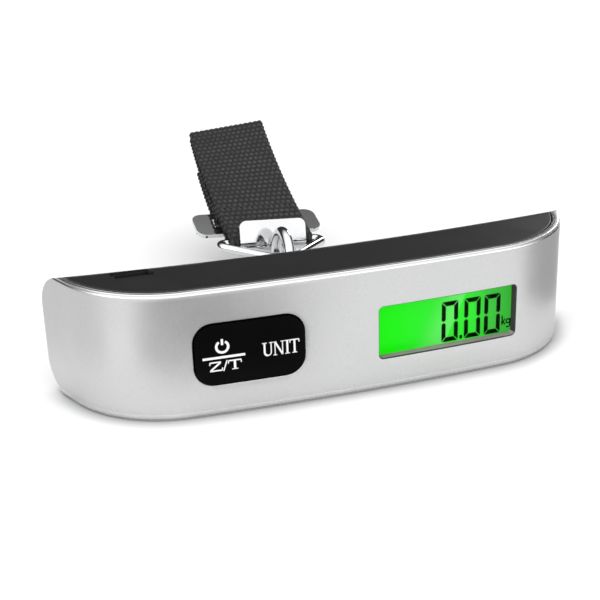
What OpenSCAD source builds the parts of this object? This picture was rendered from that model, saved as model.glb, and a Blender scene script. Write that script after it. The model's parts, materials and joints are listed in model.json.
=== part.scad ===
// Digital luggage scale: curved bar housing, lit display, rocker key and a webbing strap on a load hook.
// Millimetres, +Z up. X runs along the bar and Y from the display face to the strap.
// Origin: on the resting plane, in the middle of the bar's length and depth.

/* [Housing] */
// Radius of the bowed display face, seen from above
face_r = 658; // [400:1:900]
// Half length of the bowed face before the end curves start
face_half = 40.4; // [36:0.1:46]
// Radius of the two end curves
corner_r = 28.5; // [24:0.1:34]
// Direction of the side walls where they meet the back, from the X axis
side_angle = 68; // [60:1:78]
// Height of the bar
body_h = 32.2; // [28:0.1:36]
// Depth of the bar at its middle
body_d = 26.3; // [22:0.1:30]
// Radius of the hollow curve of the back, seen from above
back_r = 573; // [400:1:900]
// Rounding of the two long back edges
back_edge_r = 9.2; // [6:0.1:12]
// Bevel along the edges of the display face
edge_bevel = 0.7; // [0.3:0.05:1]
// Wall of the silver front shell
front_wall = 1.9; // [1.4:0.1:2.4]
// Wall of the black rear shell
rear_wall = 2; // [1.6:0.1:2.6]
// Parting gap between the two shells
parting_gap = 0.06; // [0.03:0.01:0.15]

/* [Display] */
// Distance of the display's middle from the middle of the bar
display_x = 25.4; // [22:0.1:28]
// Height of the display's middle
display_z = 15; // [13:0.1:18]
// Width of the display opening
display_w = 38; // [34:0.1:42]
// Height of the display opening
display_h = 14.2; // [12:0.1:16]
// Depth of the recess down to the window
recess_d = 3.2; // [2.4:0.1:4]

/* [Key] */
// Distance of the key's middle from the middle of the bar
key_x = -25.7; // [-30:0.1:-22]
// Height of the key's middle
key_z = 15.9; // [13:0.1:18]
// Width of the key
key_w = 26.4; // [22:0.1:30]
// Height of the key
key_h = 15.2; // [12:0.1:18]
// Corner radius of the key
key_corner_r = 4.6; // [3:0.1:6]
// Gap around the key in its opening
key_gap = 0.35; // [0.25:0.05:0.5]
// Distance of the key's pivot behind the face
pivot_d = 4.6; // [4:0.1:5.5]
// Distance of each push post from the pivot
post_x = 9; // [7:0.1:10]

/* [Load hook] */
// Height of the load hook's axis
hook_z = 16.8; // [14:0.1:19]
// Distance of the eye's middle behind the front of the face
eye_y = 57.9; // [50:0.1:64]
// Radius of the eye, to the middle of its wire
eye_r = 6.6; // [6:0.1:8]
// Radius of the hook's wire
hook_wire_r = 1.6; // [1.4:0.05:2]
// Turn of the hook in its bearing, as it lies
hook_roll = 4; // [0:0.5:8]

/* [Strap] */
// Distance of the ring's bar behind the front of the face
bar_y = 70.9; // [66:0.1:76]
// Radius of the ring's wire
ring_wire_r = 1.35; // [1.1:0.05:1.6]
// Distance from the ring's bar to the sharp point of its triangle
ring_point = 17.6; // [14:0.1:20]
// Bend radius at the ring's two base corners
ring_corner_r = 1.8; // [1.5:0.1:2.5]
// Bend radius at the ring's point
ring_point_r = 3.2; // [2.4:0.1:4]
// Slope of the strap above the floor, as it lies
strap_slope = 14.5; // [0:0.5:40]
// Width of the webbing
webbing_w = 25.4; // [24:0.1:27]
// Thickness of the webbing
webbing_t = 1.3; // [1:0.05:1.6]
// Distance from the ring's bar to the top of the folded strap
strap_l = 67; // [50:0.5:90]
// Distance from the ring's bar to the end of the tail
tail_end = 49; // [34:0.5:56]
// Width of the buckle over its ears
buckle_w = 38.4; // [36:0.1:42]
// Thickness of the buckle's plate
buckle_t = 1.2; // [1:0.05:1.6]
// Width of the hook tongue's tip
tongue_w = 19.8; // [16:0.1:22]
// Width of the hook tongue where it passes between the ring's legs
tongue_neck_w = 14; // [10:0.1:15]

/* [Hidden] */
$fn = 96;
// Small overlap for clean unions
eps = 0.01;
// Distance of the frame's origin behind the front of the face
origin_y = 13;
// Battery: coin cell and its door
cell_x = -49.6;
cell_z = 15.5;
cell_r = 10;
cell_t = 3.2;
cell_y = 22.4;
door_w = 22.4;
door_z0 = 4.4;
door_z1 = 26;
tab_w = 9.8;
tab_z1 = 31.3;
door_gap = 0.25;
door_skin = 1.6;
// Circuit board
board_y = 9.7;
board_t = 1.2;
// Load cell beam
beam_y = 14.5;
beam_d = 6.5;
beam_l = 52;
beam_h = 12;
beam_screw_x = 21;
// Case screws
case_x = 36;
case_z = [4.5, 27.5];

silver = [0.72, 0.72, 0.73];
black = [0.08, 0.08, 0.085];
steel = [0.75, 0.76, 0.78];

// ---- geometry helpers -------------------------------------------------

// angle at which the bowed face hands over to the end curve
turn = asin(face_half / face_r);
corner_x = (face_r - corner_r) * sin(turn);
corner_y = face_r - (face_r - corner_r) * cos(turn);
side_l = 16;
blend = 0.02;
// a point on the handover's radius, just outside the face
turn_x = (face_r + 2) * sin(turn);
turn_y = face_r - (face_r + 2) * cos(turn);

function face_y(x) = face_r - sqrt(face_r * face_r - x * x);
function back_y(x) = body_d + back_r - sqrt(back_r * back_r - x * x);

module on_frame() {
  translate([0, -origin_y, 0]) children();
}

// local frame on the bowed face: X along the face, Y inwards, Z up
module at_face(x) {
  translate([x, face_y(x), 0]) rotate([0, 0, asin(x / face_r)]) children();
}

// half section of the bar's edge: a strip of height h, bevelled by c
module edge_section(w, c, h) {
  if (c > 0)
    polygon([[0, 0], [w - c, 0], [w, c], [w, h - c], [w - c, h], [0, h]]);
  else
    square([w, h]);
}

// outline of the bar seen from above, moved inwards by o, height h, bevel c
module plan_solid(o, c, h) {
  r1 = face_r - o;
  r2 = corner_r - o;
  // bowed face
  intersection() {
    translate([0, face_r, 0]) rotate_extrude($fn = 480) edge_section(r1, c, h);
    linear_extrude(height = h)
      polygon([[corner_x, corner_y], [turn_x, turn_y], [-turn_x, turn_y], [-corner_x, corner_y]]);
  }
  for (s = [0, 1]) mirror([s, 0, 0]) {
    // end curve, standing out by the blend so that it crosses its neighbours cleanly
    translate([corner_x, corner_y, 0]) intersection() {
      translate([blend * sin(turn), -blend * cos(turn), 0])
        rotate_extrude($fn = 180) edge_section(r2, c, h);
      linear_extrude(height = h)
        polygon([[-1, 1], [60 * sin(turn - 7), -60 * cos(turn - 7)], [60 * sin(36), -60 * cos(36)],
          [60 * sin(side_angle + 7), -60 * cos(side_angle + 7)]]);
    }
    // straight side wall
    translate([corner_x, corner_y, 0]) rotate([0, 0, side_angle - 90])
      translate([0, side_l, 0]) rotate([90, 0, 0])
        linear_extrude(height = side_l) edge_section(r2 - blend, c, h);
  }
  linear_extrude(height = h)
    polygon([[corner_x, corner_y - 4], [corner_x + 4, corner_y + 12], [-corner_x - 4, corner_y + 12],
      [-corner_x, corner_y - 4]]);
}

// swept cross-section of the bar with a hollow back, moved inwards by o
module sweep_solid(o) {
  r = back_edge_r - o;
  translate([0, body_d + back_r, 0]) rotate_extrude($fn = 480) {
    translate([back_r + o + r, o]) square([46, body_h - 2 * o]);
    translate([back_r + o, o + r]) square([46, body_h - 2 * o - 2 * r]);
    translate([back_r + o + r, o + r]) circle(r = r, $fn = 64);
    translate([back_r + o + r, body_h - o - r]) circle(r = r, $fn = 64);
  }
}

// rounded rectangle standing in the XZ plane, from y0 to y1
module slab(w, h, r, y0, y1) {
  d = y1 - y0;
  translate([0, y1, 0]) rotate([90, 0, 0]) linear_extrude(height = d) {
    square([w - 2 * r, h], center = true);
    square([w, h - 2 * r], center = true);
    for (x = [-1, 1], z = [-1, 1])
      translate([x * (w / 2 - r), z * (h / 2 - r)]) circle(r = r);
  }
}

module box(x0, x1, y0, y1, z0, z1) {
  translate([x0, y0, z0]) cube([x1 - x0, y1 - y0, z1 - z0]);
}

// round rod along Y
module rod_y(r, y0, y1) {
  translate([0, y1, 0]) rotate([90, 0, 0]) cylinder(r = r, h = y1 - y0);
}

// round rod along X
module rod_x(r, x0, x1) {
  translate([x0, 0, 0]) rotate([0, 90, 0]) cylinder(r = r, h = x1 - x0);
}

// turn of the hook, ring and strap about the hook's axis
module as_rolled() {
  translate([0, 0, hook_z]) rotate([0, hook_roll, 0]) translate([0, 0, -hook_z]) children();
}

// strap frame: origin on the ring's bar, Y along the strap, Z up from its front
module on_bar() {
  as_rolled() translate([0, bar_y, hook_z]) rotate([strap_slope, 0, 0]) children();
}

// ---- housing ----------------------------------------------------------

module door_prism(g) {
  box(cell_x - door_w / 2 + g, cell_x + door_w / 2 - g, 18, 40, door_z0 + g, door_z1 - g);
  box(cell_x - tab_w / 2 + g, cell_x + tab_w / 2 - g, 20.5 + g, 40, door_z1 - 1, tab_z1);
}

module front_shell() color(silver) on_frame() {
  difference() {
    union() {
      intersection() {
        difference() {
          plan_solid(0, edge_bevel, body_h);
          translate([0, 0, -1]) plan_solid(front_wall, 0, body_h + 2);
        }
        sweep_solid(0);
      }
      // collar that deepens the display recess
      at_face(display_x) translate([0, 0, display_z])
        slab(display_w + 2.4, display_h + 2.4, 1.6, 1.2, recess_d);
      // lugs that carry the key's pivot
      at_face(key_x) for (z = [5.4, 24.9])
        box(-2.6, 2.6, 1.6, 6.6, z, z + 1.5);
      // screw posts behind the face
      for (x = [-case_x, case_x], z = case_z)
        translate([x, 0, z]) rod_y(1.75, face_y(case_x) + 1, 12);
    }
    at_face(display_x) translate([0, 0, display_z])
      slab(display_w, display_h, 0.9, -3, 6);
    at_face(key_x) translate([0, 0, key_z])
      slab(key_w + 2 * key_gap, key_h + 2 * key_gap, key_corner_r + key_gap, -3, 2.6);
    at_face(key_x) translate([0, pivot_d, 4]) cylinder(r = 1.25, h = 24);
    for (x = [-case_x, case_x], z = case_z)
      translate([x, 0, z]) rod_y(0.95, 5, 13);
  }
}

module rear_shell() color(black) on_frame() {
  difference() {
    union() {
      difference() {
        intersection() {
          translate([0, 0, -1]) plan_solid(front_wall + parting_gap, 0, body_h + 2);
          sweep_solid(0);
        }
        intersection() {
          union() {
            translate([0, 0, -1]) plan_solid(front_wall + parting_gap + 1.7, 0, body_h + 2);
            box(-58, 58, -2, 13, 0, body_h);
          }
          sweep_solid(rear_wall);
        }
      }
      // thicker wall around the battery door
      intersection() {
        difference() {
          sweep_solid(rear_wall - 0.2);
          sweep_solid(rear_wall + 1.4);
        }
        box(cell_x - 12.6, cell_x + 12.6, 19.4, 40, 1, body_h - 1);
      }
      // battery pocket
      translate([cell_x, 0, cell_z]) rod_y(11.4, 20.8, 25.4);
      // posts for the load cell
      for (x = [-beam_screw_x, beam_screw_x])
        translate([x, 0, hook_z]) rod_y(3.4, beam_y + beam_d, body_d - 1);
      // posts for the case screws
      for (x = [-case_x, case_x], z = case_z)
        translate([x, 0, z]) rod_y(2, 12.1, 19);
      intersection() {
        sweep_solid(0.4);
        for (x = [-case_x, case_x], z = case_z)
          translate([x, 0, z]) rod_y(3.1, 18.6, 28);
      }
      // posts for the circuit board
      for (x = [-12, 3])
        translate([x, 0, 6.5]) rod_y(1.7, board_y + board_t, body_d - 1);
    }
    // door opening through the outer skin
    intersection() {
      door_prism(0);
      difference() {
        sweep_solid(-2);
        sweep_solid(door_skin + 0.1);
      }
    }
    // finger notch in front of the door's tab
    box(cell_x - tab_w / 2 + 0.3, cell_x + tab_w / 2 - 0.3, 18.2, 21.2, body_h - 1.5, body_h + 1);
    translate([cell_x, 0, cell_z]) rod_y(cell_r + 0.3, cell_y - 0.6, 40);
    translate([cell_x - 4, 0, cell_z - 4]) rod_y(1.2, 20, 24);
    // bearing hole of the load hook
    translate([0, 0, hook_z]) rod_y(3.2, 20, 40);
    for (x = [-beam_screw_x, beam_screw_x])
      translate([x, 0, hook_z]) rod_y(1, beam_y + beam_d - 1, beam_y + beam_d + 3.6);
    for (x = [-case_x, case_x], z = case_z) translate([x, 0, z]) {
      rod_y(1.15, 10, 30);
      rod_y(2.1, 20.2, 40);
    }
    for (x = [-12, 3])
      translate([x, 0, 6.5]) rod_y(0.75, board_y, board_y + board_t + 5);
  }
}

module battery_cover() color(black) on_frame() {
  intersection() {
    door_prism(door_gap);
    difference() {
      sweep_solid(0);
      sweep_solid(door_skin);
    }
  }
}

// ---- display ----------------------------------------------------------

module display_window() color([0.8, 0.85, 0.85, 0.35]) on_frame() {
  at_face(display_x) translate([0, 0, display_z])
    slab(display_w + 2, display_h + 1.4, 0.8, recess_d + 0.02, recess_d + 0.7);
}

module display_panel() color([0.2, 0.5, 0.2]) on_frame() {
  at_face(display_x) translate([0, 0, display_z])
    slab(display_w + 2.2, display_h + 1.6, 0.5, recess_d + 0.74, recess_d + 2.3);
}

module display_backlight() color([0.2, 1, 0.2]) on_frame() {
  at_face(display_x) translate([0, 0, display_z])
    slab(display_w + 2, display_h + 1.2, 0.6, recess_d + 2.34, recess_d + 4.3);
}

module display_frame() color([0.85, 0.85, 0.85]) on_frame() {
  at_face(display_x) translate([0, 0, display_z]) difference() {
    slab(display_w + 4.4, display_h + 3, 1, recess_d + 0.06, recess_d + 4.6);
    slab(display_w + 2.4, display_h + 1.8, 0.7, recess_d - 1, recess_d + 4.32);
    box(-16, 16, recess_d + 4, recess_d + 6, -display_h / 2 - 0.6, display_h / 2);
  }
}

module zebra_strip() color([0.75, 0.35, 0.55]) on_frame() {
  at_face(display_x) translate([0, 0, display_z])
    box(-15, 15, recess_d + 4.36, 8.25, -display_h / 2 + 0.4, -display_h / 2 + 2.6);
}

// ---- electronics ------------------------------------------------------

module circuit_board() color([0.05, 0.3, 0.15]) on_frame() {
  difference() {
    box(-40, 46, board_y, board_y + board_t, 8, 24);
    translate([0, 0, hook_z]) rod_y(2.6, board_y - 1, board_y + 3);
  }
  difference() {
    box(-14.6, 5.6, board_y, board_y + board_t, 4.4, 8 + eps);
    for (x = [-12, 3])
      translate([x, 0, 6.5]) rod_y(0.95, board_y - 1, board_y + 3);
  }
}

module control_chip() color([0.05, 0.05, 0.06]) on_frame() {
  translate([20, 0, 16]) rod_y(4.2, board_y + board_t + 0.02, board_y + board_t + 1.4);
}

module switch_body(x) {
  translate([x, 0, key_z]) difference() {
    box(-3, 3, 6.7, board_y - 0.02, -3, 3);
    rod_y(1.68, 6, 8.2);
  }
}

module switch_left() color([0.1, 0.1, 0.1]) on_frame() switch_body(key_x - post_x);
module switch_right() color([0.1, 0.1, 0.1]) on_frame() switch_body(key_x + post_x);

module plunger(x) {
  translate([x, 0, key_z]) rod_y(1.6, 5.6, 7.9);
}

module plunger_left() color([0.15, 0.15, 0.15]) on_frame() plunger(key_x - post_x);
module plunger_right() color([0.15, 0.15, 0.15]) on_frame() plunger(key_x + post_x);

module key_rocker() color([0.03, 0.03, 0.03]) on_frame() {
  at_face(key_x) {
    translate([0, 0, key_z]) {
      slab(key_w, key_h, key_corner_r, -0.45, 2.7);
      slab(key_w + 1.8, key_h + 1.2, key_corner_r + 0.4, 2.65, 3.7);
      box(-2.2, 2.2, 3.6, pivot_d + 1.6, -key_h / 2 + 0.2, key_h / 2 - 0.2);
      translate([-post_x, 0, 0]) rod_y(1.3, 3.6, 4.3);
      translate([post_x, 0, 0]) rod_y(1.3, 3.6, 5.05);
    }
    translate([0, pivot_d, 5.6]) cylinder(r = 1.2, h = 20.6);
  }
}

// ---- load cell --------------------------------------------------------

module load_cell() color([0.8, 0.8, 0.82]) on_frame() {
  translate([0, 0, hook_z]) difference() {
    box(-beam_l / 2, beam_l / 2, beam_y, beam_y + beam_d, -beam_h / 2, beam_h / 2);
    rod_y(hook_wire_r + 0.08, beam_y - 1, beam_y + beam_d + 1);
    for (x = [-1, 1]) {
      translate([x * beam_screw_x, 0, 0]) rod_y(1.35, beam_y - 1, beam_y + beam_d + 1);
      translate([x * 12, beam_y + beam_d / 2, -beam_h]) cylinder(r = 2.2, h = 2 * beam_h);
    }
  }
}

module strain_gauges() color([0.8, 0.5, 0.15]) on_frame() {
  for (x = [-12, 12])
    box(x - 3, x + 3, beam_y - 0.14, beam_y - 0.02, hook_z - 2, hook_z + 2);
}

module gauge_ribbon() color([0.75, 0.45, 0.1]) on_frame() {
  box(12.2, 14.2, board_y + board_t + 0.02, beam_y - 0.16, hook_z - 1.5, hook_z - 1.3);
  box(12.2, 14.2, beam_y - 0.3, beam_y - 0.16, hook_z - 1.5, hook_z + 1);
}

module load_cell_screws() color(steel) on_frame() {
  for (x = [-beam_screw_x, beam_screw_x]) translate([x, 0, hook_z]) difference() {
    union() {
      rod_y(2.3, beam_y - 1.7, beam_y - 0.03);
      rod_y(0.98, beam_y - 0.5, beam_y + beam_d + 3.4);
    }
    box(-1.6, 1.6, beam_y - 2, beam_y - 1, -0.3, 0.3);
    box(-0.3, 0.3, beam_y - 2, beam_y - 1, -1.6, 1.6);
  }
}

module case_screws() color(steel) on_frame() {
  for (x = [-case_x, case_x], z = case_z) translate([x, 0, z]) difference() {
    union() {
      rod_y(1.9, 20.24, 21.7);
      rod_y(0.92, 7, 20.5);
    }
    box(-1.4, 1.4, 21.1, 23, -0.28, 0.28);
    box(-0.28, 0.28, 21.1, 23, -1.4, 1.4);
  }
}

module board_screws() color(steel) on_frame() {
  for (x = [-12, 3]) translate([x, 0, 6.5]) difference() {
    union() {
      rod_y(1.5, board_y - 1.1, board_y - 0.03);
      rod_y(0.72, board_y - 0.5, board_y + board_t + 4);
    }
    box(-1.1, 1.1, board_y - 2, board_y - 0.6, -0.22, 0.22);
    box(-0.22, 0.22, board_y - 2, board_y - 0.6, -1.1, 1.1);
  }
}

// ---- battery ----------------------------------------------------------

module battery() color(steel) on_frame() {
  translate([cell_x, cell_y + cell_t, cell_z]) rotate([90, 0, 0]) {
    cylinder(r = cell_r, h = cell_t - 0.6);
    cylinder(r = cell_r - 1.1, h = cell_t);
  }
}

module contact_negative() color(steel) on_frame() {
  box(cell_x - 3, cell_x + 3, cell_y - 0.5, cell_y - 0.2, cell_z - 5, cell_z + 5);
}

module contact_positive() color(steel) on_frame() {
  box(cell_x + cell_r + 0.02, cell_x + cell_r + 0.24, cell_y + 0.4, cell_y + 2.6, cell_z - 1.2, cell_z + 1.2);
}

// ---- load hook --------------------------------------------------------

module hook_bushing() color([0.12, 0.12, 0.12]) on_frame() translate([0, 0, hook_z]) difference() {
  union() {
    rod_y(3.15, 22.2, body_d + 0.4);
    rod_y(4.6, body_d + 0.06, body_d + 1.2);
  }
  rod_y(hook_wire_r + 0.07, 20, 30);
}

module load_hook() color(steel) on_frame() as_rolled() translate([0, 0, hook_z]) {
  rod_y(hook_wire_r, 11.4, eye_y - eye_r + 0.4);
  translate([0, eye_y, 0]) rotate([0, 90, 0]) rotate_extrude()
    translate([eye_r, 0]) circle(r = hook_wire_r);
}

module hook_washer() color(steel) on_frame() as_rolled() translate([0, 0, hook_z]) difference() {
  rod_y(3.6, beam_y - 0.6, beam_y - 0.05);
  rod_y(hook_wire_r + 0.02, 10, 16);
}

module hook_nut() color(steel) on_frame() as_rolled() translate([0, 0, hook_z]) difference() {
  translate([0, beam_y - 0.62, 0]) rotate([90, 0, 0]) linear_extrude(height = 2.4)
    polygon([for (i = [0:5]) [3.1 * cos(60 * i), 3.1 * sin(60 * i)]]);
  rod_y(hook_wire_r + 0.02, 10, 16);
}

// ---- ring -------------------------------------------------------------

// straight wire between two points of the XY plane, let 0.2 mm into the bend at each end
module wire(a, b, r) {
  l = norm(b - a);
  translate([a[0], a[1], 0]) rotate([0, 0, atan2(b[1] - a[1], b[0] - a[0])]) rod_x(r - 0.03, -0.2, l + 0.2);
}

// bend of the wire about a point, over the quarter wedge around direction m
module wire_bend(c, rb, r, a0, a1) {
  m = (a0 + a1) / 2;
  k = 4 * rb;
  translate([c[0], c[1], 0]) intersection() {
    rotate_extrude() translate([rb, 0]) circle(r = r);
    translate([0, 0, -r - 1]) linear_extrude(height = 2 * r + 2)
      polygon([[0, 0], [k * cos(a0), k * sin(a0)], [k * cos(m), k * sin(m)], [k * cos(a1), k * sin(a1)]]);
  }
}

module ring() color(steel) on_frame() as_rolled() translate([0, bar_y, hook_z]) {
  // legs at 45 degrees; base corners and point rounded
  t = ring_corner_r / tan(22.5);
  x_bar = ring_point - t;
  c = [x_bar, -ring_corner_r];
  cp = [0, -ring_point + ring_point_r * sqrt(2)];
  q = ring_point_r / sqrt(2);
  wire([-x_bar, 0], [x_bar, 0], ring_wire_r);
  for (s = [0, 1]) mirror([s, 0, 0]) {
    wire_bend(c, ring_corner_r, ring_wire_r, -45, 90);
    wire([x_bar + ring_corner_r / sqrt(2), -ring_corner_r - ring_corner_r / sqrt(2)],
      [q, cp[1] - q], ring_wire_r);
  }
  wire_bend(cp, ring_point_r, ring_wire_r, -135, -45);
}

// ---- strap ------------------------------------------------------------

// half thickness of the webbing and its layers' heights over the bar
ht = webbing_t / 2;
wrap_r = ring_wire_r + 0.08 + ht;
frame_v = -2.4;
back_v = frame_v + buckle_t / 2 + 0.08 + ht;
tail_v = frame_v - buckle_t / 2 - 0.08 - ht;
frame_u0 = 8.4;
frame_u1 = 19.8;
slot_u0 = 12.4;
slot_u1 = 16.8;
fold_r = (wrap_r - back_v) / 2;

// flat stretch of webbing between two points of the strap's side view
module lay(a, b, t) {
  d = b - a;
  l = norm(d);
  n = [-d[1], d[0]] * (t / 2 / l);
  polygon([a - n, b - n, b + n, a + n]);
}

// half ring in the side view, on the side of direction dir degrees
module turn_round(c, r, t, a0, a1) {
  m = (a0 + a1) / 2;
  k = 3 * r;
  translate(c) intersection() {
    difference() {
      circle(r = r + t / 2);
      circle(r = r - t / 2);
    }
    polygon([[0, 0], [k * cos(a0), k * sin(a0)], [k * cos(m), k * sin(m)], [k * cos(a1), k * sin(a1)]]);
  }
}

module strap_side() {
  // sewn end, round the bar, up the front
  lay([7.5, wrap_r - webbing_t - 0.04], [20, wrap_r - webbing_t - 0.04], webbing_t);
  lay([1.3, -wrap_r - 0.02], [7.9, wrap_r - webbing_t - 0.02], webbing_t);
  lay([-0.1, -wrap_r], [1.6, -wrap_r], webbing_t);
  turn_round([0, 0], wrap_r, webbing_t, 90, 180);
  turn_round([0, 0], wrap_r, webbing_t, 180, 270);
  lay([0, wrap_r], [strap_l - fold_r - ht, wrap_r], webbing_t);
  // fold at the top, down the back, round the buckle and up the tail
  turn_round([strap_l - fold_r - ht, wrap_r - fold_r], fold_r, webbing_t, -90, 0);
  turn_round([strap_l - fold_r - ht, wrap_r - fold_r], fold_r, webbing_t, 0, 90);
  lay([slot_u1, back_v], [strap_l - fold_r - ht, back_v], webbing_t);
  turn_round([slot_u1, frame_v], back_v - frame_v, webbing_t, 90, 180);
  turn_round([slot_u1, frame_v], back_v - frame_v, webbing_t, 180, 270);
  lay([slot_u1, tail_v], [tail_end, tail_v], webbing_t);
}

module strap_webbing() color([0.06, 0.06, 0.065]) on_frame() on_bar()
  translate([-webbing_w / 2, 0, 0]) rotate([90, 0, 90]) linear_extrude(height = webbing_w)
    strap_side();

module strap_stitching() color([0.03, 0.03, 0.03]) on_frame() on_bar()
  for (u = [12, 16], x = [-10.5:3:10.5])
    translate([x, u, wrap_r + ht + 0.19]) rod_x(0.18, -1, 1);

module hook_buckle() color(steel) on_frame() on_bar() {
  hr = 3.5;
  // frame with its slot and two ears
  difference() {
    union() {
      translate([0, 0, frame_v - buckle_t / 2]) linear_extrude(height = buckle_t) {
        translate([-buckle_w / 2 + 3, frame_u0]) square([buckle_w - 6, frame_u1 - frame_u0]);
        translate([-buckle_w / 2, frame_u0 + 3]) square([buckle_w, frame_u1 - frame_u0 - 6]);
        for (x = [-1, 1], u = [frame_u0 + 3, frame_u1 - 3])
          translate([x * (buckle_w / 2 - 3), u]) circle(r = 3);
      }
    }
    translate([-webbing_w / 2 - 0.6, slot_u0, frame_v - 2])
      cube([webbing_w + 1.2, slot_u1 - slot_u0, 4]);
  }
  // neck and hook between the ring's legs
  translate([-tongue_neck_w / 2, 0, 0]) rotate([90, 0, 90]) linear_extrude(height = tongue_neck_w) {
    lay([frame_u0 + 0.6, frame_v], [4, -hr], buckle_t);
    lay([-0.1, -hr], [4.3, -hr], buckle_t);
    turn_round([0, 0], hr, buckle_t, 147, 200);
    turn_round([0, 0], hr, buckle_t, 200, 270);
  }
  // broad flat tip in front of the webbing
  translate([0, hr * cos(147), hr * sin(147)]) rotate([57, 0, 0])
    translate([0, 0, -buckle_t / 2 + 0.03]) linear_extrude(height = buckle_t - 0.06) {
      translate([-tongue_neck_w / 2 + 0.03, -0.25]) square([tongue_neck_w - 0.06, 3]);
      translate([-tongue_w / 2, 0.9]) square([tongue_w, 3.4]);
      translate([-tongue_w / 2 + 2, 2]) square([tongue_w - 4, 4.3]);
      for (x = [-1, 1]) translate([x * (tongue_w / 2 - 2), 4.3]) circle(r = 2);
    }
}

// ---- nodes ------------------------------------------------------------

front_shell();
rear_shell();
battery_cover();
display_window();
display_panel();
display_backlight();
display_frame();
zebra_strip();
circuit_board();
control_chip();
key_rocker();
switch_left();
switch_right();
plunger_left();
plunger_right();
load_cell();
strain_gauges();
gauge_ribbon();
load_cell_screws();
case_screws();
board_screws();
hook_bushing();
load_hook();
hook_washer();
hook_nut();
battery();
contact_positive();
contact_negative();
ring();
strap_webbing();
strap_stitching();
hook_buckle();
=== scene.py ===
"""Visual model of the digital luggage scale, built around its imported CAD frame."""
import bpy, bmesh, json, math
import numpy as np
from mathutils import Matrix, Vector


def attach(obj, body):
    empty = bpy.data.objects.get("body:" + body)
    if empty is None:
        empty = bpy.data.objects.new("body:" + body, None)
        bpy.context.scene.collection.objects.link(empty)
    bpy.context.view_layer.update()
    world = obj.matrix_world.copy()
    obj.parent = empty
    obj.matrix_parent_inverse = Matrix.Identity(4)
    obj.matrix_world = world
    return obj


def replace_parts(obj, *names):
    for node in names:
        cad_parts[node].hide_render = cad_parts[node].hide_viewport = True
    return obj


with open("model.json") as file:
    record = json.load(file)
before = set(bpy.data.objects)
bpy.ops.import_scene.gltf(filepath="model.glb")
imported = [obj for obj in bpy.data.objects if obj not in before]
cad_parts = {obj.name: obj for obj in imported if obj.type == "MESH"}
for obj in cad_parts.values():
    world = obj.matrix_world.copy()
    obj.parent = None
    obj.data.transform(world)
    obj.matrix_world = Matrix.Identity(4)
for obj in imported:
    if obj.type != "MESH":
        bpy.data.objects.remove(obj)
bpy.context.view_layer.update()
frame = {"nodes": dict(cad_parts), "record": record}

scene = bpy.context.scene
NODES = frame["nodes"]
JOINTS = {j["name"]: j for j in frame["record"]["behaviour"]["joints"]}
MM = 0.001

# ---------------------------------------------------------------- camera
cam_data = bpy.data.cameras.new("camera")
cam_data.lens, cam_data.sensor_width = 72, 36
cam_data.clip_start, cam_data.clip_end = 0.01, 30
cam = bpy.data.objects.new("camera", cam_data)
scene.collection.objects.link(cam)
scene.camera = cam
YAW, PITCH, ROLL = (math.radians(a) for a in (17.12, 21.93, -1.87))
cam.matrix_world = (
    Matrix.Translation(Vector((-0.08977, -0.26166, 0.13163)))
    @ Matrix.Rotation(-YAW, 4, "Z")
    @ Matrix.Rotation(math.pi / 2 - PITCH, 4, "X")
    @ Matrix.Rotation(ROLL, 4, "Z")
)
scene.view_settings.view_transform = "Standard"


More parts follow.
